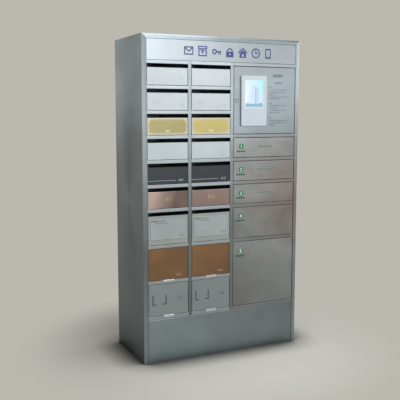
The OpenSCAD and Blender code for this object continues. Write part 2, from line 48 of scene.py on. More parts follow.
bodyOf = {node: body for body, members in record["behaviour"]["bodies"].items() for node in members}
sideNames = ("left", "right")
scene = bpy.context.scene
touching = 1e-4  # places closer than this count as one


# Colours are written as seen on a screen, from 0 to 255.
def linearColour(red, green, blue):
    def channel(value):
        value = value / 255
        return value / 12.92 if value <= 0.04045 else ((value + 0.055) / 1.055) ** 2.4
    return (channel(red), channel(green), channel(blue), 1)


def shaded(colour, factor, tint=(1, 1, 1)):
    return tuple(min(255, part * share * factor) for part, share in zip(colour, tint))


# Sockets among the inputs are linked, and anything else is set as a value.
def feed(tree, node, inputs):
    for name, value in inputs.items():
        if isinstance(value, bpy.types.NodeSocket):
            tree.links.new(value, node.inputs[name])
        else:
            node.inputs[name].default_value = value
    return node


def addNode(tree, kind, inputs, operation=None):
    node = tree.nodes.new(kind)
    if operation:
        node.operation = operation
    return feed(tree, node, inputs)


# A material under construction, with short calls for the nodes that the finishes share.
class Finish:
    def __init__(self, name):
        self.material = bpy.data.materials.new(name)
        self.material.use_nodes = True
        self.tree = self.material.node_tree
        self.shader = self.tree.nodes["Principled BSDF"]
        self.coords = addNode(self.tree, "ShaderNodeTexCoord", {}).outputs["Object"]
        self.normal = None

    def put(self, **values):
        feed(self.tree, self.shader, {name.replace("_", " "): value for name, value in values.items()})

    def places(self):
        return addNode(self.tree, "ShaderNodeSeparateXYZ", {"Vector": self.coords}).outputs

    def noise(self, scale, detail=2.0, roughness=0.5, distortion=0.0):
        mapping = addNode(self.tree, "ShaderNodeMapping", {
            "Vector": self.coords, "Scale": scale if isinstance(scale, tuple) else (scale,) * 3})
        return addNode(self.tree, "ShaderNodeTexNoise", {
            "Vector": mapping.outputs["Vector"], "Scale": 1, "Detail": detail, "Roughness": roughness,
            "Distortion": distortion}).outputs["Fac"]

    def between(self, source, low, high, start=0.3, end=0.7):
        return addNode(self.tree, "ShaderNodeMapRange", {
            "Value": source, "From Min": start, "From Max": end, "To Min": low, "To Max": high}).outputs["Result"]

    def add(self, first, second, operation="ADD"):
        return addNode(self.tree, "ShaderNodeMath", {0: first, 1: second}, operation).outputs["Value"]

    def times(self, first, factor):
        return self.add(first, factor, "MULTIPLY")

    # Two sources in one, the first with the given share.
    def blend(self, first, share, second):
        return self.add(self.times(first, share), self.times(second, 1 - share))

    def tones(self, source, stops):
        ramp = self.tree.nodes.new("ShaderNodeValToRGB")
        elements = ramp.color_ramp.elements
        while len(elements) < len(stops):
            elements.new(0.5)
        for element, (place, colour) in zip(elements, stops):
            element.position = place
            element.color = linearColour(*colour)
        return feed(self.tree, ramp, {"Fac": source}).outputs["Color"]

    # One colour that drifts a little darker and lighter with the source.
    def drifting(self, source, reach, colour, drift):
        return self.tones(source, [(0.5 - reach, shaded(colour, 1 - drift)), (0.5, colour),
                                   (0.5 + reach, shaded(colour, 1 + drift))])

    def mixed(self, first, second, factor, kind):
        mix = self.tree.nodes.new("ShaderNodeMix")
        mix.data_type, mix.blend_type = "RGBA", kind
        return feed(self.tree, mix, {"Factor": factor, "A": first, "B": second}).outputs["Result"]

    # A painted reflection: a soft warm patch of another tint round one place on the front.
    def blushed(self, output, place, reach, tint):
        away = addNode(self.tree, "ShaderNodeVectorMath", {0: self.coords, 1: place}, "DISTANCE").outputs["Value"]
        patch = self.tones(self.between(away, 0, 1, 0, reach), [(0, tint), (1, (255, 255, 255))])
        return self.mixed(output, patch, 1, "MULTIPLY")

    def bump(self, source, depth, strength):
        node = addNode(self.tree, "ShaderNodeBump", {"Height": source, "Distance": depth, "Strength": strength})
        if self.normal is not None:
            feed(self.tree, node, {"Normal": self.normal})
        self.normal = node.outputs["Normal"]
        self.put(Normal=self.normal)


# The settings of one finish: a colour, a roughness and whatever differs from the common settings below.
def look(colour, roughness, **others):
    return {"colour": colour, "roughness": roughness, **others}


grainScales = {"x": (14, 1500, 1500), "y": (1500, 14, 1500), "z": (1500, 1500, 14)}
bareSteel = {
    "grain": "x", "metallic": 1.0, "stretch": 0.5, "turn": "Z", "wave": 0.0012, "contrast": 0.015, "cloudy": 0.03,
    "patches": (2.6, 2.6, 3.4), "span": 0.15, "sweeps": (), "warm": (1, 1, 1), "cool": (1, 1, 1),
}
enamel = {"metallic": 0.0, "coat": 0.15, "drift": 0.025}
plastic = {"texture": 1400, "shine": 0.5, "coat": 0.0, "grip": 0.5, "drift": 0.06}


# Ground steel: fine scratches along the grain, cloudy hand marks and a sheet that isn't quite flat.
# Each sweep paints light and shade into the tone: a slow change from one place to another along x, or along x leaning
# with z.
def brushedMetal(name, settings):
    given = {**bareSteel, **settings}
    finish = Finish(name)
    scales = grainScales[given["grain"]]
    fine = finish.noise(scales, 3, 0.65)
    broad = finish.noise(tuple(size * 0.14 for size in scales), 2, 0.5)
    cloud = finish.noise(3.2, 3, 0.55)
    contrast, cloudy, span, colour = given["contrast"], given["cloudy"], given["span"], given["colour"]
    patches = finish.noise(given["patches"], 3, 0.6, 0.6)
    tone = finish.add(finish.between(finish.blend(fine, 0.55, broad), -contrast, contrast, 0.34, 0.66),
                      finish.between(patches, -cloudy, cloudy, 0.33, 0.67))
    for lean, start, end, gain in given["sweeps"]:
        place = finish.places()
        along = finish.add(place["X"], finish.times(place["Z"], lean))
        tone = finish.add(tone, finish.between(along, gain, -gain, start, end))
    ground = finish.tones(finish.between(tone, 0, 1, -span, span), [
        (0.0, shaded(colour, 1 - span, given["warm"])), (0.5, colour), (1.0, shaded(colour, 1 + span, given["cool"]))])
    if "blush" in given:
        ground = finish.blushed(ground, *given["blush"])
    rough = given["roughness"]
    worn = finish.add(finish.between(cloud, rough - 0.035, rough + 0.045), finish.between(fine, -0.04, 0.04))
    tangent = finish.tree.nodes.new("ShaderNodeTangent")
    tangent.direction_type, tangent.axis = "RADIAL", given["turn"]
    finish.put(Base_Color=ground, Roughness=worn, Metallic=given["metallic"], Anisotropic=given["stretch"],
               Tangent=tangent.outputs["Tangent"])
    finish.bump(finish.noise((2.1, 2.1, 2.6), 1, 0.4), given["wave"], 0.6)
    finish.bump(fine, 0.00002, 0.2)
    return finish.material


# Sprayed or film-faced sheet: orange peel, a little cloud in the tone, and gloss that varies.
def paintedSheet(name, settings):
    given = {**enamel, **settings}
    finish = Finish(name)
    cloud, speck, rough = finish.noise(5.5, 4, 0.6), finish.noise(900, 2, 0.5), given["roughness"]
    worn = finish.add(finish.between(cloud, rough - 0.04, rough + 0.05), finish.between(speck, -0.02, 0.02))
    finish.put(Base_Color=finish.drifting(finish.blend(cloud, 0.8, speck), 0.14, given["colour"], given["drift"]),
               Roughness=worn, Metallic=given["metallic"], Coat_Weight=given["coat"], Coat_Roughness=0.18)
    finish.bump(finish.noise(3.0, 1, 0.4), 0.0005, 0.5)
    finish.bump(finish.noise(520, 2, 0.5), 0.00003, 0.5)
    return finish.material


# Moulded plastic or rubber with a fine spark-eroded texture.
def mouldedPlastic(name, settings):
    given = {**plastic, **settings}
    finish = Finish(name)
    cloud, rough = finish.noise(14, 3, 0.5), given["roughness"]
    finish.put(Base_Color=finish.drifting(cloud, 0.2, given["colour"], given["drift"]),
               Roughness=finish.between(cloud, rough - 0.05, rough + 0.05),
               Specular_IOR_Level=given["shine"], Coat_Weight=given["coat"])
    finish.bump(finish.noise(given["texture"], 2, 0.6), 0.00003, given["grip"])
    return finish.material


# Screen-printed or film-cut marks.
def printedInk(name, colour, roughness, metallic):
    finish = Finish(name)
    fine = finish.noise(700, 2, 0.6)
    finish.put(Base_Color=finish.tones(fine, [(0.3, shaded(colour, 0.93)), (0.7, shaded(colour, 1.05))]),
               Roughness=finish.between(fine, roughness - 0.06, roughness + 0.06), Metallic=metallic)
    return finish.material


cloudTints = {"warm": (1.03, 0.985, 0.965), "cool": (0.985, 1.0, 1.02)}
# A painted warm reflection on the right of the front, shared by the steels there.
rightPaintedReflection = {"blush": ((0.56, -0.24, 0.96), 0.46, (252, 223, 216))}
steelLooks = {
    # Rails, crossbars, posts, the surround, header, plinth, parcel and control doors and the sides are copies of one
    # stainless, each lighter or darker as painted light and shade for where it stands on the cabinet.
    "rail": look((173, 181, 186), 0.56),
    "crossbar": look((146, 151, 153), 0.44, **rightPaintedReflection),
    "post": look((130, 137, 141), 0.38, grain="z", span=0.2,
                 sweeps=[(0.8, 0.0, 1.1, -0.09), (-1.0, -1.85, -1.5, -0.065)]),
    "surround": look((135, 144, 149), 0.46, grain="z", span=0.2, sweeps=[(0.0, -0.53, 0.53, -0.11)], **rightPaintedReflection),
    # The jamb, rim and slant steels are lit and shaded copies of the surround steel, with painted light and shade.
    "leftJamb": look((126, 134, 139), 0.46, grain="z", span=0.2,
                     sweeps=[(1.0, 0.65, 1.35, 0.12), (1.0, 0.18, 0.59, -0.06), (1.0, -0.31, 0.09, 0.09)]),
    "leftSlant": look((161, 171, 177), 0.46, grain="z", span=0.3,
                      sweeps=[(1.0, 0.93, 1.34, 0.1), (1.0, 0.17, 0.93, -0.22), (1.0, -0.31, 0.09, 0.09)]),
    "rim": look((142, 151, 156), 0.44, span=0.2, sweeps=[(0.0, -0.42, -0.02, 0.105), (0.0, 0.15, 0.4, -0.04)]),
    "rimSlant": look((130, 139, 144), 0.44, span=0.3, sweeps=[(0.0, -0.42, -0.02, 0.12), (0.0, 0.15, 0.4, -0.1)]),
    "header": look((140, 146, 150), 0.36, sweeps=[(0.0, -0.45, 0.35, 0.03)]),
    "plinth": look((144, 156, 161), 0.42, cloudy=0.04, sweeps=[(0.0, -0.5, 0.5, 0.09)], span=0.2,
                   warm=(1.01, 1.0, 0.99), cool=(0.985, 1.0, 1.02)),
    "control": look((141, 149, 153), 0.44, cloudy=0.04, sweeps=[(10, 14.0, 18.0, 0.04)], **cloudTints),
    "parcel": look((156, 160, 161), 0.42, cloudy=0.085, contrast=0.035, **cloudTints, **rightPaintedReflection),
    "tallParcel": look((154, 158, 159), 0.42, cloudy=0.07, contrast=0.035, sweeps=[(0.8, 0.38, 0.8, -0.08)],
                       span=0.25, **cloudTints, **rightPaintedReflection),
    "side": look((107, 117, 122), 0.42, grain="z", turn="X", wave=0.0008, sweeps=[(1.0, 0.0, 0.9, -0.022)]),
    "inner": look((172, 178, 180), 0.46, grain="y", stretch=0.2),
    "plated": look((174, 179, 182), 0.34, stretch=0.0, wave=0.0),
    # The key barrel's ring is a darker plated steel, and its dark tone also paints the shade on the barrel's flank.
    "keyRing": look((112, 118, 122), 0.3, stretch=0.0, wave=0.0),
    "keyChrome": look((188, 192, 194), 0.34, stretch=0.0, wave=0.0),
    "caseAluminium": look((196, 198, 197), 0.38, stretch=0.3),
}
steel = {name: brushedMetal(name + " steel", settings) for name, settings in steelLooks.items()}
plated = steel["plated"]

plasticLooks = {
    # Black plastic for the slot guards and terminals, also used as painted shade in the vents and holes.
    "black plastic and painted shade": look((15, 18, 25), 0.66, shine=0.15, grip=0.3),
    "lock case plastic": look((62, 66, 70), 0.5),
    "screen housing plastic": look((192, 200, 207), 0.36, grip=0.15, coat=0.1, drift=0.012),
    # The tray's dark grey, behind the white cap, stands in for the shade on the housing's sides.
    "screen housing side shade": look((74, 82, 87), 0.5),
    "grommet rubber": look((30, 30, 31), 0.78, texture=600, shine=0.3),
    "indicator lens": look((34, 40, 44), 0.12, grip=0.0, coat=0.6),
    "terminal block plastic": look((70, 130, 88), 0.45),
}
blackPlasticAndShade, lockBlack, housingWhite, housingSideShade, blackRubber, darkLens, terminalGreen = (
    mouldedPlastic(name, settings) for name, settings in plasticLooks.items())
caseEnamel = paintedSheet("controller enamel", look((214, 217, 215), 0.42))
terminalEnamel = paintedSheet("terminal enamel", look((44, 46, 49), 0.55))
print("materials: steels, plastics and enamels")


# Pieces and the meshes that they are made from.
def meshFrom(work, name, outward=False):
    mesh = bpy.data.meshes.new(name)
    if outward:
        bmesh.ops.recalc_face_normals(work, faces=work.faces)
    work.normal_update()
    work.to_mesh(mesh)
    work.free()
    return mesh


def addObject(name, data):
    thing = bpy.data.objects.new(name, data)
    scene.collection.objects.link(thing)
    return thing


def makePiece(name, work, finishes, body="cabinet", stands=(), outward=True, flatFaces=True, sharp=35):
    mesh = meshFrom(work, name, outward)
    for finish in finishes if isinstance(finishes, (list, tuple)) else [finishes]:
        mesh.materials.append(finish)
    mesh.polygons.foreach_set("use_smooth", [True] * len(mesh.polygons))
    mesh.set_sharp_from_angle(angle=radians(sharp))
    piece = addObject(name, mesh)
    if flatFaces:
        weighted = piece.modifiers.new("flat faces", "WEIGHTED_NORMAL")
        weighted.keep_sharp = True
    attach(piece, body)
    if stands:
        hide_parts(*stands)


# The node's own mesh, welded, with its flat faces whole again.
def nodeMesh(node):
    source = frame["nodes"][node].data
    mesh = bpy.data.meshes.new(node)
    mesh.from_pydata([vertex.co[:] for vertex in source.vertices], [],
                     [tuple(polygon.vertices) for polygon in source.polygons])
    work = bmesh.new()
    work.from_mesh(mesh)
    bpy.data.meshes.remove(mesh)
    weld, flat = 2e-5, radians(0.5)
    bmesh.ops.remove_doubles(work, verts=work.verts, dist=weld)
    bmesh.ops.dissolve_limit(work, angle_limit=flat, verts=work.verts, edges=work.edges)
    return work


# A copy that stands for the node, with the bends that pick() chooses rounded.
def bentCopy(node, pick, radius, segments, finishes, paint=None, sharp=35):
    work = nodeMesh(node)
    work.normal_update()
    bends = [edge for edge in work.edges if len(edge.link_faces) == 2 and edge.is_convex
             and edge.calc_face_angle(0) > radians(20) and pick(edge)]
    bmesh.ops.bevel(work, geom=bends, offset=radius, offset_type="OFFSET", segments=segments,
                    profile=0.5, affect="EDGES", clamp_overlap=True)
    if paint:
        work.normal_update()
        for face in work.faces:
            face.material_index = paint(face)
    makePiece(node + "_bent", work, finishes, bodyOf[node], (node,), False, sharp=sharp)


def anyEdge(edge):
    return True


# Picks the edges that run along one of the axes and are longer than the length given for it.
def runsAlong(**lengths):
    def test(edge):
        step = edge.verts[1].co - edge.verts[0].co
        return any(abs(step["xyz".index(axis)]) > 0.99 * step.length and step.length > length
                   for axis, length in lengths.items())
    return test


# The planes that bound a panel node's front face, as axis and place: left, right, bottom, top and the front itself.
def frontPlanes(node):
    points = [vertex.co for vertex in frame["nodes"][node].data.vertices]
    front = min(point.y for point in points)
    face = [point for point in points if point.y < front + touching]
    return [(axis, end(point[axis] for point in face)) for axis in (0, 2) for end in (min, max)] + [(1, front)]


# Boxes of the separate solids in one node.
def solidBoxes(node):
    work = nodeMesh(node)
    unseen, boxes = set(work.verts), []
    while unseen:
        stack, found = [unseen.pop()], []
        while stack:
            vertex = stack.pop()
            found.append(vertex.co.copy())
            near = {edge.other_vert(vertex) for edge in vertex.link_edges} & unseen
            unseen -= near
            stack += near
        boxes.append((Vector(map(min, zip(*found))), Vector(map(max, zip(*found)))))
    work.free()
    return sorted(boxes, key=lambda pair: (round(pair[0].x, 3), round(pair[0].z, 3)))


def arc(x, z, radius, start, sweep, steps):
    return [(x + radius * cos(radians(start + sweep * step / steps)),
             z + radius * sin(radians(start + sweep * step / steps))) for step in range(steps + 1)]


def circle(x, z, radius, steps=28):
    return arc(x, z, radius, 0, 360, steps)[:-1]


def rectangle(x, z, width, height, radius=0.0, steps=5):
    if radius <= 0:
        return [(x, z), (x + width, z), (x + width, z + height), (x, z + height)]
    left, right, low, high = x + radius, x + width - radius, z + radius, z + height - radius
    corners = ((right, low, -90), (right, high, 0), (left, high, 90), (left, low, 180))
    return [point for x, z, start in corners for point in arc(x, z, radius, start, 90, steps)]


# The outline of a box's front, moved inwards. The radius is that of the corners of the box itself.
def insetFront(low, high, depth, radius, steps):
    return rectangle(low.x + depth, low.z + depth, high.x - low.x - 2 * depth, high.z - low.z - 2 * depth,
                     radius - depth, steps)


def curveMesh(curve):
    holder = bpy.data.objects.new("outline", curve)
    made = bpy.data.meshes.new_from_object(holder)
    bpy.data.objects.remove(holder)
    return made


# Stands a flat curve up on the plane y, with its front towards the viewer.
def addCurve(work, curve, y, thickness, place=Matrix()):
    made = curveMesh(curve)
    upright = Matrix(((1, 0, 0, 0), (0, 0, -1, y - thickness / 2 + 0.00002), (0, 1, 0, 0), (0, 0, 0, 1)))
    made.transform(place)
    made.transform(upright)
    work.from_mesh(made)
    bpy.data.curves.remove(curve)
    bpy.data.meshes.remove(made)


# Flat shapes cut from thin film. A shape is a list of loops: the outline first, then its holes.
def addFilm(work, shapes, y, thickness):
    for loops in shapes:
        curve = bpy.data.curves.new("outline", "CURVE")
        curve.dimensions = "2D"
        curve.fill_mode = "BOTH"
        curve.extrude = thickness / 2
        for loop in loops:
            spline = curve.splines.new("POLY")
            spline.points.add(len(loop) - 1)
            for point, place in zip(spline.points, loop):
                point.co = (*place, 0, 1)
            spline.use_cyclic_u = True
        addCurve(work, curve, y, thickness)


def filmPiece(name, shapes, y, thickness, finish, body="cabinet"):
    work = bmesh.new()
    addFilm(work, shapes, y, thickness)
    makePiece(name, work, finish, body, outward=False)


# Plain figures, scaled to a height and centred on a point of the front.
def addFigures(work, text, x, z, height, y, thickness, weight):
    curve = bpy.data.curves.new("figures", "FONT")
    curve.body = text
    curve.size = 1
    curve.space_character = 1.08
    curve.resolution_u = 3
    curve.offset = weight
    made = curveMesh(curve)
    xs = [vertex.co.x for vertex in made.vertices]
    zs = [vertex.co.y for vertex in made.vertices]
    scale = height / (max(zs) - min(zs))
    curve.extrude = thickness / 2 / scale
    bpy.data.meshes.remove(made)
    addCurve(work, curve, y, thickness, Matrix.Translation((x, z, 0)) @ Matrix.Scale(scale, 4)
             @ Matrix.Translation((-(min(xs) + max(xs)) / 2, -(min(zs) + max(zs)) / 2, 0)))


# Rings of points round an axis, each with its radius and height. A radius may be a function of the angle,
# so a ring needn't be round. A closed profile runs back into itself, and an open one is capped.
def ringsRound(work, centre, axis, layers, steps, closed=False):
    axis = Vector(axis).normalized()
    aside = Vector((1, 0, 0)) if abs(axis.x) < 0.9 else Vector((0, 0, 1))
    across = axis.cross(aside)
    rings = []
    for radius, height in layers:
        ring = []
        for step in range(steps):
            angle = 2 * pi * step / steps
            reach = radius(angle) if callable(radius) else radius
            ring.append(work.verts.new(Vector(centre) + axis * height
                                       + (aside * cos(angle) + across * sin(angle)) * reach))
        rings.append(ring)
    skinRings(work, rings, closed)


def skinRings(work, rings, closed=False):
    steps = len(rings[0])
    for lower, upper in list(zip(rings, rings[1:])) + ([(rings[-1], rings[0])] if closed else []):
        for step in range(steps):
            after = (step + 1) % steps
            work.faces.new((lower[step], lower[after], upper[after], upper[step]))
    if not closed:
        work.faces.new(rings[0][::-1])
        work.faces.new(rings[-1])


# A pan head with a cross recess.
def screwHead(work, centre, axis, radius, height, turn=0.0):
    def cross(reach, width):
        def at(angle):
            part = (angle + turn + pi / 4) % (pi / 2) - pi / 4
            return radius * min(reach / cos(part), width / max(abs(sin(part)), 1e-6))
        return at
    dome = [(1, 0), (1, 0.34), (0.95, 0.62), (0.82, 0.86), (0.62, 0.97), (0.52, 1)]
    layers = [(radius * share, height * rise) for share, rise in dome]
    layers += [(cross(0.46, 0.11), height * 0.99), (cross(0.36, 0.08), height * 0.45)]
    ringsRound(work, centre, axis, layers, 40)


# A capped skin between outlines of equal count in XZ, each at its own y.
def loftedMesh(work, outlines):
    skinRings(work, [[work.verts.new((x, y, z)) for x, z in outline] for outline, y in outlines])


def blockMesh(work, low, high, edge=0.0):
    corners = [work.verts.new((x, y, z)) for x in (low[0], high[0]) for y in (low[1], high[1])
               for z in (low[2], high[2])]
    faces = [work.faces.new([corners[index] for index in face]) for face in (
        (0, 1, 3, 2), (4, 6, 7, 5), (0, 4, 5, 1), (2, 3, 7, 6), (0, 2, 6, 4), (1, 5, 7, 3))]
    if edge:
        edges = list(dict.fromkeys(side for face in faces for side in face.edges))
        bmesh.ops.bevel(work, geom=edges, offset=edge, segments=2, profile=0.5, affect="EDGES")


# Radii of the bends, and the width of the surround's face.
carcass = {"tube": 0.0017, "sheet": 0.0005, "surround": 0.0007, "header": 0.0012, "plinth": 0.0032,
           "surroundWidth": 0.0285}


def refinish(node, finish):
    materials = frame["nodes"][node].data.materials
    materials.clear()
    materials.append(finish)


def outerTubeEdge(node, axis):
    low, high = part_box(node)
    along = runsAlong(**{axis: 0.1})

    def test(edge):
        middle = (edge.verts[0].co + edge.verts[1].co) / 2
        return along(edge) and (middle.y < low.y + touching or middle.y > high.y - touching)
    return test


def outerPanelEdge(node):
    planes = frontPlanes(node)
    return lambda edge: sum(all(abs(vertex.co[axis] - value) < touching for vertex in edge.verts)
                            for axis, value in planes) >= 2


def frontEdge(node):
    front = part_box(node)[0].y
    return lambda edge: max(vertex.co.y for vertex in edge.verts) < front + touching


surroundShadedCopies = [steel[name] for name in ("surround", "rim", "rimSlant", "leftJamb", "leftSlant")]
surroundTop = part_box("surround")[1].z


# The surround's members and their slanted faces take lit and shaded copies of one steel, so each carries its own
# painted tone of light and shade.
def surroundPaint(face):
    middle, normal = face.calc_center_median(), face.normal
    if normal.y > -0.3:
        return 0
    if middle.z > surroundTop - carcass["surroundWidth"]:
        return 2 if normal.z > 0.25 else 1
    if middle.x < 0:
        return 4 if normal.x < -0.25 else 3
    return 0


bentCopy("surround", runsAlong(x=0.5, z=0.5), carcass["surround"], 2, surroundShadedCopies, surroundPaint, 25)
for node, axis, segments, finish in (("letter_rails", "x", 4, "rail"), ("parcel_rails", "x", 4, "crossbar"),
                                     ("mullions", "z", 3, "post")):
    bentCopy(node, outerTubeEdge(node, axis), carcass["tube"], segments, steel[finish])
for name in ("header", "plinth"):
    bentCopy(name + "_panel", outerPanelEdge(name + "_panel"), carcass[name], 3, steel[name])
for side in sideNames:
    bentCopy(side + "_side_panel", runsAlong(z=0.5), carcass["sheet"], 2, steel["side"])
bentCopy("top_panel", runsAlong(x=0.5, y=0.3), carcass["sheet"], 2, steel["side"])
for node in ("partitions", "letter_shelves", "parcel_shelves", "back_panel", "base_tray"):
    refinish(node, steel["inner"])
refinish("back_strips", steel["side"])
print("carcass: surround, tubes, panels and sheets")


doorFold = {"radius": 0.0013, "parcelRadius": 0.0015, "segments": 4, "depth": 0.012, "skin": 0.0009}
rowLooks = {
    1: look((196, 202, 207), 0.45),
    2: look((194, 201, 206), 0.45),
    3: look((196, 190, 170), 0.42, metallic=0.1),
    4: look((187, 196, 200), 0.45),
    5: look((35, 41, 49), 0.48, coat=0.1),
    6: look((167, 147, 143), 0.36, contrast=0.03, cloudy=0.05, patches=(5, 5, 3), warm=(1.03, 0.98, 0.97)),
    7: look((154, 158, 154), 0.42, metallic=0.2),
    8: look((137, 105, 77), 0.44, contrast=0.05, cloudy=0.06, metallic=0.75),
    9: look((158, 169, 173), 0.44, metallic=0.85),
}
bareRows = (6, 8, 9)  # these doors are bare metal, and the others are painted
# Painted sheens on the bare doors: diagonal bands of light and dark that stand in for reflections.
paintedSheens = {
    (6, "left"): {"sweeps": [(-0.3, -0.77, -0.62, 0.24)], "span": 0.3},
    (8, "left"): {"sweeps": [(-0.4, -0.8, -0.4, 0.08)], "span": 0.2},
    (8, "right"): {"sweeps": [(-0.4, -0.5, -0.1, 0.08)], "span": 0.2},
}


# Outside faces take the door's own finish, the inside of the pan is bare sheet, and the rods and tongues are plated.
def panPaint(node):
    planes = frontPlanes(node)
    bottom, top, front = (value for axis, value in planes[2:])

    def choose(face):
        middle = face.calc_center_median()
        if (middle.z < bottom - touching or middle.z > top + touching
                or middle.y > front + doorFold["depth"] + touching):
            return 2
        return 0 if min(abs(middle[axis] - value) for axis, value in planes) < doorFold["skin"] else 1
    return choose


def bentDoor(node, finish, radius):
    bentCopy(node, outerPanelEdge(node), radius, doorFold["segments"],
             [finish, steel["inner"], plated], panPaint(node))


for row, settings in rowLooks.items():
    make = brushedMetal if row in bareRows else paintedSheet
    for side in sideNames:
        finish = make(f"letter door row {row} {side}", {**settings, **paintedSheens.get((row, side), {})})
        bentDoor(f"letter_door_{row}_{side}", finish, doorFold["radius"])
for index in range(1, 6):
    bentDoor(f"parcel_door_{index}", steel["parcel" if index < 5 else "tallParcel"], doorFold["parcelRadius"])
bentDoor("control_door", steel["control"], doorFold["parcelRadius"])

# One gold, in a darker copy on the left door and a lighter one on the right: painted light and shade of its sheen.
inlayLitAndShadedGolds = {"left": (158, 146, 93), "right": (186, 170, 106)}
frontRadius = {"inlay": 0.0003, "plate": 0.0004}
plateFinish = paintedSheet("raised plate enamel", look((161, 169, 170), 0.4, metallic=0.15))
for side, colour in inlayLitAndShadedGolds.items():
    inlay, plate = "inlay_3_" + side, "raised_plate_7_" + side
    inlayFinish = paintedSheet("gold inlay " + side, look(colour, 0.4, metallic=0.2, drift=0.05))
    bentCopy(inlay, frontEdge(inlay), frontRadius["inlay"], 2, inlayFinish)
    bentCopy(plate, frontEdge(plate), frontRadius["plate"], 2, plateFinish)

pullTabLook = {"sheet": 0.0012, "bend": 0.0026, "corner": 0.005, "steps": 8}
tabFinish = brushedMetal("pull tab", look((205, 216, 228), 0.34, stretch=0.2, wave=0.0))


# A lip that hangs in front of the rail, bent over into a leg under the door.
def pullTab(node):
    low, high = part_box(node)
    sheet, bend, corner, steps = (pullTabLook[name] for name in ("sheet", "bend", "corner", "steps"))
    middle, half = (low.x + high.x) / 2, (high.x - low.x) / 2
    path = []
    for step in range(steps + 1):
        drop = corner * step / steps
        path.append((low.y, low.z + drop, 0, 1, half - corner + sqrt(max(0, corner ** 2 - (corner - drop) ** 2))))
    for step in range(steps + 1):
        angle = pi / 2 * step / steps
        path.append((low.y + bend * (1 - cos(angle)), high.z - bend + bend * sin(angle), sin(angle), cos(angle), half))
    path.append((high.y, high.z, 1, 0, half))
    work = bmesh.new()
    rows = []
    for y, z, level, rise, width in path:
        left, right = middle - max(width, half - corner), middle + max(width, half - corner)
        rows.append([work.verts.new(place) for place in (
            (left, y, z), (right, y, z),
            (right, y + sheet * rise, z - sheet * level), (left, y + sheet * rise, z - sheet * level))])
    skinRings(work, rows)
    makePiece(node + "_folded", work, tabFinish, bodyOf[node], (node,), sharp=50)


for row in (8, 9):
    for side in sideNames:
        pullTab(f"pull_tab_{row}_{side}")
# The guards are black plastic, and their black also stands in for the shade deep in the slots.
bentCopy("slot_guards", runsAlong(x=0.1), 0.0004, 2, blackPlasticAndShade)
print("doors: pans, inlays, plates, pull tabs and slot guards")

housingLook = {"fillet": 0.0026, "corner": 0.01, "cap": 0.0075,
               "seamDepth": 0.0004, "seam": (0.0011, 0.0009, 0.0002),
               "windowLip": 0.0009, "windowCorner": 0.0012, "roundSteps": 6, "lightPlace": (0.228, -0.2514, 1.4724)}


def screenHousing():
    low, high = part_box("screen_housing")
    glassLow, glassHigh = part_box("display_panel")
    fillet, seam, lip, steps = (housingLook[name] for name in ("fillet", "seamDepth", "windowLip", "roundSteps"))

    def outline(inset):
        return insetFront(low, high, inset, housingLook["corner"], 7)

    def window(grow):
        return insetFront(glassLow, glassHigh, -grow, housingLook["windowCorner"], 7)
    split = low.y + housingLook["cap"]
    layers = [(outline(0), high.y)]
    layers += [(outline(inset), split + rise) for inset, rise in zip((0, seam, seam), housingLook["seam"])]
    layers.append((outline(0), split))
    for step in range(steps + 1):
        angle = pi / 2 * step / steps
        layers.append((outline(fillet * (1 - cos(angle))), low.y + fillet * (1 - sin(angle))))
    layers += [(window(lip), low.y), (window(lip * 0.3), low.y + lip * 0.35), (window(0), low.y + lip),
               (window(0), glassHigh.y - touching)]
    work = bmesh.new()
    loftedMesh(work, layers)
    # Faces behind the split take the grey: painted shade on the housing's sides.
    for face in work.faces:
        face.material_index = int(face.calc_center_median().y > split + touching)
    makePiece("screen_housing_moulded", work, [housingWhite, housingSideShade], "control_door",
              ("screen_housing",), sharp=28)


screenHousing()

displayLook = {
    "sky": [(0.0, (244, 250, 252)), (0.45, (226, 243, 251)), (0.72, (196, 238, 250)), (1.0, (170, 240, 250))],
    # Each tower: left edge, width and height as shares of the picture, and its colour.
    "towers": [(0.10, 0.13, 0.44, (232, 238, 246)), (0.24, 0.10, 0.60, (222, 230, 244)),
               (0.35, 0.24, 0.80, (208, 229, 249)), (0.56, 0.055, 0.77, (150, 188, 214)),
               (0.635, 0.13, 0.70, (196, 220, 238)), (0.80, 0.12, 0.50, (218, 230, 245))],
    # Each bush: its middle and its radius, as shares too.
    "bushes": [(0.08, 0.145, 0.035), (0.17, 0.16, 0.03), (0.27, 0.142, 0.028), (0.80, 0.15, 0.04),
               (0.90, 0.165, 0.045)],
    "bush": (116, 168, 172),
    "water": (142, 184, 204),
    "bar": (170, 206, 220),
    "glow": 0.72,
    "dim": 0.72,
    "dark": (0.01, 0.012, 0.014, 1),
    "ground": 0.15,
    "towerFoot": 0.12,
    "frame": 0.004,
    "film": 0.00006,
}


# A lit surface: it glows with its own colour, and reflects light as a dark panel does.
def litFinish(name, picture):
    finish = Finish(name)
    output = picture(finish)
    finish.put(Base_Color=finish.mixed(output, displayLook["dark"], displayLook["dim"], "MIX"), Emission_Color=output,
               Emission_Strength=displayLook["glow"], Roughness=0.16, Coat_Weight=0.4, Coat_Roughness=0.06)
    return finish.material


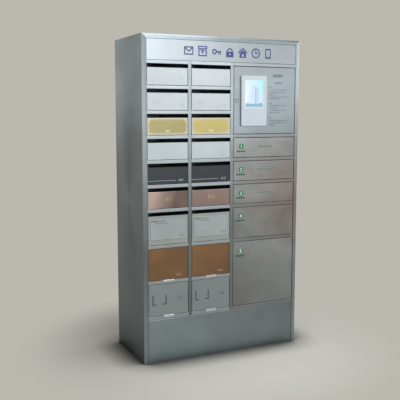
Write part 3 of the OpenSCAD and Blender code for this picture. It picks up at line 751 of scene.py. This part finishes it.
def displayPanel():
    low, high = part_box("display_panel")
    width, height, edge = high.x - low.x, high.z - low.z, 0.0003
    face = low.y + 0.0002
    work = bmesh.new()
    loftedMesh(work, [(insetFront(low, high, inset, radius, 4), y) for inset, radius, y in (
        (0, 0.001, high.y), (0, 0.001, face + edge), (edge, 0.0011, face))])

    def sky(finish):
        place = finish.places()
        across = finish.between(place["X"], 0, 0.62, low.x, high.x)
        up = finish.between(place["Z"], 0, 0.38, low.z, high.z)
        cloud = finish.between(finish.noise((9, 9, 22), 4, 0.6, 0.8), -0.1, 0.1)
        return finish.tones(finish.add(finish.add(across, up), cloud), displayLook["sky"])
    makePiece("display_glass", work, litFinish("display sky", sky), "control_door", ("display_panel",))

    def shape(name, colour, parts, lift):
        def plain(finish):
            return finish.tones(finish.noise(60, 2, 0.5), [(0.3, shaded(colour, 0.97)), (0.7, shaded(colour, 1.02))])
        filmPiece(name, [[part] for part in parts], face - lift, displayLook["film"],
                  litFinish(name.replace("_", " "), plain), "control_door")

    def part(left, bottom, wide, tall, radius):
        return rectangle(low.x + width * left, low.z + height * bottom, width * wide, height * tall, radius, 3)
    ground, foot, border = displayLook["ground"], displayLook["towerFoot"], displayLook["frame"]
    for index, (left, wide, tall, colour) in enumerate(displayLook["towers"]):
        shape(f"display_tower_{index + 1}", colour, [part(left, foot, wide, tall - foot, 0.0012)],
              0.00002 + 0.00001 * index)
    shape("display_water", displayLook["water"], [
        rectangle(low.x + border, low.z + border, width - 2 * border, height * ground - border)], 0.0001)
    shape("display_bushes", displayLook["bush"], [
        circle(low.x + width * across, low.z + height * up, width * reach, 20)
        for across, up, reach in displayLook["bushes"]], 0.00012)
    shape("display_keys", displayLook["bar"], [
        part(0.12 + 0.27 * index, 0.035, 0.2, 0.045, 0.0015) for index in range(3)], 0.00014)


displayPanel()
marker = bmesh.new()
ringsRound(marker, housingLook["lightPlace"], (0, 1, 0), [(0.0022, 0), (0.0018, 0.00025)], 24)
makePiece("housing_light", marker, darkLens, "control_door")

for node, radius, finish in (("key_barrel", 0.0003, "keyRing"), ("key_plug", 0.0002, "keyChrome")):
    bentCopy(node, lambda edge: edge.calc_face_angle(0) > radians(50), radius, 2, steel[finish])


# Four screws near the corners of a box, on its face at y, with their heads along out.
def cornerScrews(name, low, high, insets, y, out, radius, height, body="cabinet"):
    screws = bmesh.new()
    for x in (low.x + insets[0], high.x - insets[0]):
        for z in (low.z + insets[1], high.z - insets[1]):
            screwHead(screws, (x, y, z), (0, out, 0), radius, height)
    makePiece(name, screws, plated, body)


terminalLook = {"radius": 0.0015, "slots": 9, "slotWidth": 0.046, "slotStep": 0.007, "ports": (0.03, 0.046, 0.064)}


def terminalBody():
    low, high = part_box("terminal_body")
    bentCopy("terminal_body", anyEdge, terminalLook["radius"], 3, terminalEnamel)
    cornerScrews("terminal_screws", low, high, (0.012, 0.014), high.y, 1, 0.003, 0.0016, "control_door")
    width = terminalLook["slotWidth"]
    # The vents are black film: painted shade in place of openings.
    slots = [[rectangle((low.x + high.x) / 2 - width / 2, high.z - 0.05 - terminalLook["slotStep"] * index, width,
                        0.0028, 0.0013, 4)] for index in range(terminalLook["slots"])]
    filmPiece("terminal_vents", slots, high.y + 0.00025, 0.0003, blackPlasticAndShade, "control_door")
    ports = bmesh.new()
    for reach in terminalLook["ports"]:
        blockMesh(ports, (low.x + reach, high.y - 0.022, low.z - 0.0055),
                  (low.x + reach + 0.0115, high.y - 0.009, low.z), 0.0006)
    makePiece("terminal_ports", ports, blackPlasticAndShade, "control_door")


terminalBody()
print("control door: housing, display, key lock and terminal")

lockLook = {"parcelSide": 0.05, "radius": 0.0006, "coverGap": 0.003, "coverRise": 0.0004, "screw": 0.0024,
            "caseBack": -0.157, "footScrewY": -0.1515}


def electricLocks():
    bentCopy("electric_locks", anyEdge, lockLook["radius"], 2, lockBlack)
    covers, screws, plugs, lips = (bmesh.new() for part in range(4))
    gap, rise, back = lockLook["coverGap"], lockLook["coverRise"], lockLook["caseBack"]
    for low, high in solidBoxes("electric_locks"):
        # The foot stands at the column's wall, and the cover looks away from it.
        inside, outside, away = (low.x, high.x, 1) if low.x > lockLook["parcelSide"] else (high.x, low.x, -1)
        blockMesh(covers, (min(outside, outside + away * rise), low.y + gap + 0.002, low.z + gap),
                  (max(outside, outside + away * rise), back - gap, high.z - gap), 0.0002)
        for y in (low.y + 0.01, back - 0.008):
            for z in (low.z + 0.008, high.z - 0.008):
                screwHead(screws, (outside + away * rise, y, z), (away, 0, 0), lockLook["screw"], 0.001)
        foot = (inside + away * 0.002, lockLook["footScrewY"], (low.z + high.z) / 2)
        screwHead(screws, foot, (away, 0, 0), 0.0032, 0.0016)
        plugX = inside + away * 0.012
        blockMesh(plugs, (plugX - 0.005, back, low.z + 0.006), (plugX + 0.005, back + 0.006, low.z + 0.013), 0.0004)
        mouth = high.x - 0.013 if away > 0 else low.x + 0.004
        for edgeX in (mouth - 0.0006, mouth + 0.009):
            blockMesh(lips, (edgeX, low.y - 0.0003, low.z + 0.0155), (edgeX + 0.0006, low.y + 0.0002, high.z - 0.0155))
    makePiece("lock_covers", covers, lockBlack)
    makePiece("lock_screws", screws, plated)
    makePiece("lock_plugs", plugs, housingWhite)
    makePiece("lock_mouths", lips, plated)


def controllerBox():
    low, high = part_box("controller_box")
    bentCopy("controller_box", anyEdge, 0.0007, 2, caseEnamel)
    cornerScrews("controller_screws", low, high, (0.008, 0.008), low.y, -1, 0.0028, 0.0014)
    blocks, eyes = bmesh.new(), bmesh.new()
    for index in range(11):
        x = low.x + 0.014 + 0.014 * index
        blockMesh(blocks, (x, low.y + 0.006, low.z - 0.009), (x + 0.0125, low.y + 0.018, low.z), 0.0006)
    makePiece("controller_terminals", blocks, terminalGreen)
    for index in range(4):
        ringsRound(eyes, (high.x - 0.02 - 0.009 * index, low.y, low.z + 0.02), (0, -1, 0),
                   [(0.0016, 0), (0.0016, 0.0004), (0.0011, 0.001), (0.0004, 0.0013)], 16)
    makePiece("controller_lights", eyes, darkLens)


supplyLook = {"holeStep": 0.008, "holeRadius": 0.0022, "terminalStep": 0.0114}


def powerSupply():
    low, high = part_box("power_supply")
    bentCopy("power_supply", anyEdge, 0.0005, 2, steel["caseAluminium"])
    step, pitch = supplyLook["holeStep"], supplyLook["terminalStep"]
    # The holes are black film: painted shade in place of openings.
    holes = [[circle(low.x + 0.034 + step * column + step / 2 * (level % 2), low.z + 0.017 + step * level,
                     supplyLook["holeRadius"], 10)] for column in range(15) for level in range(9)]
    filmPiece("supply_holes", holes, low.y - 0.00005, 0.00008, blackPlasticAndShade)
    strip, screws = bmesh.new(), bmesh.new()
    left, right = low.x + 0.001, low.x + 0.0165
    blockMesh(strip, (left, low.y + 0.006, low.z + 0.006), (right, low.y + 0.019, high.z - 0.006), 0.0006)
    for index in range(8):
        blockMesh(strip, (left, low.y + 0.0025, low.z + 0.008 + pitch * index),
                  (right, low.y + 0.0065, low.z + 0.0096 + pitch * index))
    makePiece("supply_terminals", strip, blackPlasticAndShade)
    for index in range(7):
        screwHead(screws, (low.x + 0.0088, low.y + 0.006, low.z + 0.0145 + pitch * index), (0, -1, 0), 0.0033, 0.0018)
    makePiece("supply_screws", screws, plated)


def roundFittings():
    heads, bezels, domes, ring = (bmesh.new() for part in range(4))
    for index, (low, high) in enumerate(solidBoxes("back_screws")):
        centre = ((low.x + high.x) / 2, low.y, (low.z + high.z) / 2)
        screwHead(heads, centre, (0, 1, 0), (high.x - low.x) / 2, high.y - low.y, 0.4 * index)
    makePiece("back_screw_heads", heads, plated, stands=("back_screws",))
    bezel = [(1, 0), (1, 0.55), (0.93, 0.75), (0.8, 0.75), (0.76, 0)]
    dome = [(0.76, 0), (0.74, 0.6), (0.6, 0.84), (0.35, 0.97), (0.1, 1)]
    for low, high in solidBoxes("indicator_lenses"):
        centre = ((low.x + high.x) / 2, high.y, (low.z + high.z) / 2)
        radius, height = (high.x - low.x) / 2, high.y - low.y
        for work, profile in ((bezels, bezel), (domes, dome)):
            ringsRound(work, centre, (0, -1, 0), [(radius * share, height * rise) for share, rise in profile], 32,
                       work is bezels)
    makePiece("indicator_bezels", bezels, lockBlack, stands=("indicator_lenses",))
    makePiece("indicator_domes", domes, darkLens)
    low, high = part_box("cable_grommet")
    outside, sheet, bore = (high.x - low.x) / 2, 0.2373, 0.009
    length, inner = high.y - low.y, sheet - low.y
    profile = [(bore, 0.0008), (bore + 0.0008, 0), (outside - 0.001, 0), (outside, 0.0009),
               (outside - 0.0004, inner - 0.0003), (outside - 0.001, inner), (0.015, inner), (0.015, inner + 0.0012),
               (outside - 0.001, inner + 0.0012), (outside, inner + 0.0015), (outside - 0.0008, length - 0.0002),
               (outside - 0.002, length), (bore + 0.001, length), (bore, length - 0.0008)]
    ringsRound(ring, ((low.x + high.x) / 2, low.y, (low.z + high.z) / 2), (0, 1, 0), profile, 48, True)
    makePiece("grommet_ring", ring, blackRubber, stands=("cable_grommet",))


electricLocks()
controllerBox()
powerSupply()
roundFittings()
print("locks, controller, supply and small fittings")

signs = {"film": 0.00015, "door": -0.2375, "inlay": -0.2383, "plate": -0.2387, "panel": -0.238,
         "weight": 0.012, "boldWeight": 0.03}
inkColours = {
    "blue": (50, 60, 124), "green": (34, 122, 78), "dark green": (44, 78, 62), "grey green": (112, 126, 114),
    "dark grey": (100, 108, 116), "grey": (92, 97, 112), "faint grey": (172, 180, 186), "white": (214, 222, 220),
    "cream": (228, 220, 184), "pale": (166, 172, 180), "gold": (196, 170, 112), "bronze": (176, 152, 120),
    "plate grey": (112, 118, 118), "dark": (74, 83, 84),
}
inkGloss = {"gold": (0.4, 0.5)}
inks = {name: printedInk("sign " + name, colour, *inkGloss.get(name, (0.45, 0.0)))
        for name, colour in inkColours.items()}


# Places on the front are kept in millimetres from its upper left corner, and 1065 of them make its width.
def acrossFront(place):
    return (-530 + place * 1060 / 1065) / 1000


def upFront(place):
    return (1950 - place) / 1000


def bar(left, right, top, bottom, radius=0.0):
    return [rectangle(acrossFront(left), upFront(bottom), acrossFront(right) - acrossFront(left),
                      upFront(top) - upFront(bottom), radius)]


# A line round the inside of a box's front.
def frameLine(low, high, inset, width, radius):
    return [insetFront(low, high, inset, radius + inset, 6), insetFront(low, high, inset + width, radius + inset, 6)]


def printSign(name, ink, body, y, shapes=(), number=None, weight=signs["weight"]):
    work = bmesh.new()
    addFilm(work, shapes, y, signs["film"])
    if number:
        text, left, right, top, bottom = number
        addFigures(work, text, (acrossFront(left) + acrossFront(right)) / 2, (upFront(top) + upFront(bottom)) / 2,
                   upFront(top) - upFront(bottom), y, signs["film"], weight)
    makePiece(name, work, inks[ink], body, outward=False, flatFaces=False)


pictogramLook = {"left": (264, 354, 446, 536, 625, 716, 803), "size": 0.06, "base": 119}


# Seven signs, drawn in a square from 0 to 1: letter, parcel, key, padlock, house, clock and phone.
def pictograms():
    def box(u0, u1, v0, v1, radius=0.0):
        return rectangle(u0, v0, u1 - u0, v1 - v0, radius)

    def arch(u, v, outer, inner):
        return arc(u, v, outer, 0, 180, 16) + arc(u, v, inner, 0, 180, 16)[::-1]
    drawn = [
        [[box(0, 1, 0.1, 0.9, 0.06), box(0.12, 0.88, 0.22, 0.78)],
         [[(0.12, 0.78), (0.12, 0.69), (0.5, 0.34), (0.88, 0.69), (0.88, 0.78), (0.8, 0.78), (0.5, 0.5), (0.2, 0.78)]]],
        [[box(0.04, 0.96, 0, 0.64), box(0.16, 0.84, 0.12, 0.56)], [box(0, 1, 0.68, 1), box(0.12, 0.88, 0.79, 0.89)],
         [box(0.4, 0.6, 0.3, 0.56)]],
        [[circle(0.27, 0.5, 0.27), circle(0.27, 0.5, 0.13)], [box(0.54, 1, 0.43, 0.57)],
         [box(0.68, 0.79, 0.24, 0.43)], [box(0.87, 0.98, 0.2, 0.43)]],
        [[box(0.08, 0.92, 0, 0.56, 0.05), circle(0.5, 0.3, 0.09)], [arch(0.5, 0.57, 0.34, 0.21)]],
        [[[(-0.04294, 0.5288), (0.5, 1.00658), (1.04294, 0.5288), (0.95706, 0.4312), (0.5, 0.83342),
           (0.04294, 0.4312)]],
         [[(0.13, 0), (0.87, 0), (0.87, 0.44), (0.5, 0.76), (0.13, 0.44)], box(0.38, 0.62, 0.09, 0.36)]],
        [[circle(0.5, 0.5, 0.5, 40), circle(0.5, 0.5, 0.37, 40)], [box(0.44, 0.56, 0.45, 0.80)],
         [box(0.56, 0.76, 0.45, 0.57)]],
        [[box(0.17, 0.83, 0, 1, 0.08), box(0.28, 0.72, 0.2, 0.86), circle(0.5, 0.1, 0.045, 12)]],
    ]
    size, z = pictogramLook["size"], upFront(pictogramLook["base"])
    return [[[(acrossFront(left) + u * size, z + v * size) for u, v in loop] for loop in shape]
            for left, sign in zip(pictogramLook["left"], drawn) for shape in sign]


printSign("header_pictograms", "blue", "cabinet", signs["panel"], pictograms())

# Each row's ink, the face that it is printed on, its bars, and the place of its number.
rowMarks = {
    1: ("faint grey", "door", [(36, 280, 260.5, 261.3), (36, 280, 273.6, 274.4)], (236, 262, 245, 255)),
    2: ("faint grey", "door", [(66, 108, 378, 381.5), (66, 124, 388, 391), (66, 96, 397, 400), (40, 276, 412, 412.8)],
        (236, 262, 396, 406)),
    3: ("cream", "inlay", [], (140, 176, 547, 562)),
    4: ("faint grey", "door", [(40, 276, 708, 708.8)], (236, 262, 690, 700)),
    5: ("pale", "door", [(28, 208, 844, 846.4)], (221, 262, 838, 852)),
    6: ("gold", "door", [], (137, 187, 944, 966)),
    7: ("plate grey", "plate", [(50, 96, 1080, 1088), (102, 142, 1082, 1087), (70, 158, 1096, 1099.5)],
        (227, 261, 1168, 1182)),
    8: ("bronze", "door", [], (206, 244, 1409, 1424)),
    9: ("dark", "door", [(52, 60, 1531, 1585), (52, 79, 1585, 1592), (137, 145, 1531, 1585), (118, 145, 1585, 1592)],
        (218, 252, 1556, 1570)),
}


def rowFrame(row, side):
    if row == 3:
        return [frameLine(*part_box("inlay_3_" + side), 0.004, 0.0008, 0.016)]
    if row == 7:
        low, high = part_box("raised_plate_7_" + side)
        return [frameLine(low, high, 0.0008, 0.0009, 0.0015),
                [rectangle(low.x + 0.002, low.z + 0.0022, high.x - low.x - 0.004, 0.0011)]]
    return []


for side, shift, first in (("left", 0, 1), ("right", 283, 2)):
    for row, (ink, face, bars, (left, right, top, bottom)) in rowMarks.items():
        shapes = rowFrame(row, side) + [bar(start + shift, end + shift, *height) for start, end, *height in bars]
        number = f"{2 * row - 2 + first:03d}"
        printSign(f"marks_{row}_{side}", ink, f"letter_door_{row}_{side}", signs[face], shapes,
                  (number, left + shift, right + shift, top, bottom))

# Top and bottom of each parcel door's disc, then the tops of its line and of its dashes.
parcelMarks = [(640, 670, 680, 650), (783, 813, 823, 794), (930, 960, 968, 941), (1071, 1103, 1111, 1120),
               (1291, 1326, 1335, 1444)]
parcelDisc = {"middle": 650, "radius": 0.0172, "lift": 0.0001, "border": 5}
for index, (top, bottom, line, dashes) in enumerate(parcelMarks, 1):
    body, y, border = f"parcel_door_{index}", signs["door"], parcelDisc["border"]
    disc = circle(acrossFront(parcelDisc["middle"]), upFront((top + bottom) / 2), parcelDisc["radius"], 48)
    printSign(f"disc_parcel_{index}", "green", body, y, [[disc]])
    printSign(f"number_parcel_{index}", "white", body, y - parcelDisc["lift"], [],
              (str(index), 634, 666, top + border, bottom - border), signs["boldWeight"])
    printSign(f"line_parcel_{index}", "dark green", body, y, [
        bar(617 + 15.5 * step, 630 + 15.5 * step, line, line + 10, 0.001) for step in range(4)])
    printSign(f"marks_parcel_{index}", "grey green", body, y, [
        bar(767 + 20.5 * step, 783 + 20.5 * step, dashes, dashes + 12, 0.001) for step in range(5)])

printSign("control_heading", "dark grey", "control_door", signs["door"], [
    bar(873 + 17.5 * step, 887 + 17.5 * step, 212, 231, 0.0015) for step in range(4)])

# Lines of small print on the control door: left, right and top.
controlLines = [
    (837, 868, 288), (848, 985, 306), (848, 960, 322), (848, 905, 336), (848, 990, 349), (848, 930, 360),
    (837, 868, 389), (848, 978, 402), (848, 900, 416), (848, 965, 430), (848, 925, 446),
    (837, 868, 479), (848, 985, 496), (848, 975, 510), (848, 890, 523),
]
wordLook = {"lengths": (11, 17, 8, 14, 21, 9, 13), "gap": 4, "height": 4, "grow": 0.4, "radius": 0.0006}


# A line of words: short bars with gaps between them, like the smallest print seen from a few steps away.
def wordBars(left, right, top, bottom, first):
    bars, place, index, grow = [], left, first, wordLook["grow"]
    while place < right - wordLook["gap"]:
        end = min(right, place + wordLook["lengths"][index % len(wordLook["lengths"])])
        bars.append(bar(place, end, top - grow, bottom + grow, wordLook["radius"]))
        place, index = end + wordLook["gap"], index + 1
    return bars


printLines = [(887, 940, 261, 269)]
printLines += [(left, right, top, top + wordLook["height"]) for left, right, top in controlLines]
printSign("control_lines", "grey", "control_door", signs["door"], [
    piece for index, place in enumerate(printLines) for piece in wordBars(*place, index)])
print("signs: pictograms, numbers and bars")

studio = {
    "floor": (206, 203, 194),
    "backdrop": (187, 184, 175),
    "ambient": 0.33,
    "fadeStart": 0.66,
    "fadeEnd": 1.3,
    "contactShadowReach": 0.2,
    "contactShadowStart": 0.5,
    "contactShadowTone": 0.12,
    "floorSize": 30,
}
# Each softbox: its place, what it is aimed at, its size, power and tint.
softboxes = {
    "key": ((-0.02, -2.8, 2.22), (-0.05, -0.24, 1.3), (1.8, 2.1), 52, (0.94, 0.97, 1.0)),
    "fill": ((-3.6, -2.6, 2.6), (-0.5, 0.0, 1.0), (1.6, 2.2), 8, (1, 1, 1)),
    "front right": ((1.95, -2.3, 1.92), (0.5, -0.24, 1.6), (0.6, 0.9), 7, (0.93, 0.97, 1.0)),
    "top": ((0.5, -0.6, 3.9), (0.0, -0.24, 1.95), (1.5, 1.0), 34, (0.94, 0.98, 1.0)),
    "right": ((2.9, 0.55, 2.1), (0.53, -0.24, 1.6), (0.8, 1.1), 18, (0.93, 0.97, 1.0)),
    "rear": ((-1.8, 3.0, 2.35), (-0.53, 0.0, 1.5), (1.3, 1.9), 9.5, (0.96, 1.0, 0.97)),
}


# Tells the rays that show the backdrop from those that only carry its light.
def showsBackdrop(tree):
    paths = addNode(tree, "ShaderNodeLightPath", {}).outputs
    total = paths["Is Camera Ray"]
    for name in ("Is Glossy Ray", "Is Transmission Ray"):
        total = addNode(tree, "ShaderNodeMath", {0: total, 1: paths[name]}, "MAXIMUM").outputs["Value"]
    return total


def mixShaders(tree, factor, first, second, target):
    mix = addNode(tree, "ShaderNodeMixShader", {"Fac": factor, 1: first.outputs[0], 2: second.outputs[0]})
    feed(tree, tree.nodes[target], {"Surface": mix.outputs["Shader"]})


floorColour, backdropColour = linearColour(*studio["floor"]), linearColour(*studio["backdrop"])
world = bpy.data.worlds.new("studio")
scene.world = world
world.use_nodes = True
tree = world.node_tree
ambient = feed(tree, tree.nodes["Background"], {"Color": (1, 1, 1, 1), "Strength": studio["ambient"]})
backdrop = addNode(tree, "ShaderNodeBackground", {"Color": backdropColour, "Strength": 1})
mixShaders(tree, showsBackdrop(tree), ambient, backdrop, "World Output")

# The floor carries a painted contact shadow, darkest where the plinth stands on it, and fades into the backdrop further
# out.
floorMaterial = bpy.data.materials.new("studio floor")
floorMaterial.use_nodes = True
tree = floorMaterial.node_tree
tree.nodes.remove(tree.nodes["Principled BSDF"])
place = addNode(tree, "ShaderNodeTexCoord", {}).outputs["Object"]
away = addNode(tree, "ShaderNodeVectorMath", {0: place}, "LENGTH").outputs["Value"]
fade = addNode(tree, "ShaderNodeMapRange", {
    "Value": away, "From Min": studio["fadeStart"], "From Max": studio["fadeEnd"]})
fade.interpolation_type = "SMOOTHSTEP"
faded = addNode(tree, "ShaderNodeMath", {0: fade.outputs["Result"], 1: showsBackdrop(tree)}, "MULTIPLY")
contactShadow = addNode(tree, "ShaderNodeAmbientOcclusion", {"Distance": studio["contactShadowReach"]})
depth = addNode(tree, "ShaderNodeMapRange", {
    "Value": contactShadow.outputs["AO"], "From Min": studio["contactShadowStart"], "To Min": studio["contactShadowTone"]})
shadow = addNode(tree, "ShaderNodeVectorMath", {0: floorColour[:3], "Scale": depth.outputs["Result"]}, "SCALE")
matt = addNode(tree, "ShaderNodeBsdfDiffuse", {"Color": shadow.outputs["Vector"]})
glow = addNode(tree, "ShaderNodeEmission", {"Color": backdropColour})
mixShaders(tree, faded.outputs["Value"], matt, glow, "Material Output")

floorWork = bmesh.new()
bmesh.ops.create_grid(floorWork, x_segments=8, y_segments=8, size=studio["floorSize"])
floorMesh = meshFrom(floorWork, "floor")
floorMesh.materials.append(floorMaterial)
floor = addObject("floor", floorMesh)

for name, (place, aim, size, power, tint) in softboxes.items():
    lamp = bpy.data.lights.new(name, "AREA")
    lamp.shape = "RECTANGLE"
    lamp.size, lamp.size_y = size
    lamp.energy = power
    lamp.color = tint
    holder = addObject(name, lamp)
    holder.location = place
    holder.rotation_euler = (Vector(aim) - Vector(place)).to_track_quat("-Z", "Y").to_euler()
    holder.visible_camera = False

photoCamera = {"focal": 61.543, "place": (-1.9186, -3.9412, 1.4936), "pitch": -7.169, "yaw": -25.344}
cameraData = bpy.data.cameras.new("camera")
cameraData.sensor_width = 36
cameraData.lens = photoCamera["focal"]
camera = addObject("camera", cameraData)
camera.location = photoCamera["place"]
camera.rotation_euler = (radians(90 + photoCamera["pitch"]), 0, radians(photoCamera["yaw"]))
scene.camera = camera
scene.view_settings.view_transform = "Standard"
print("stage: floor, backdrop, softboxes and camera")
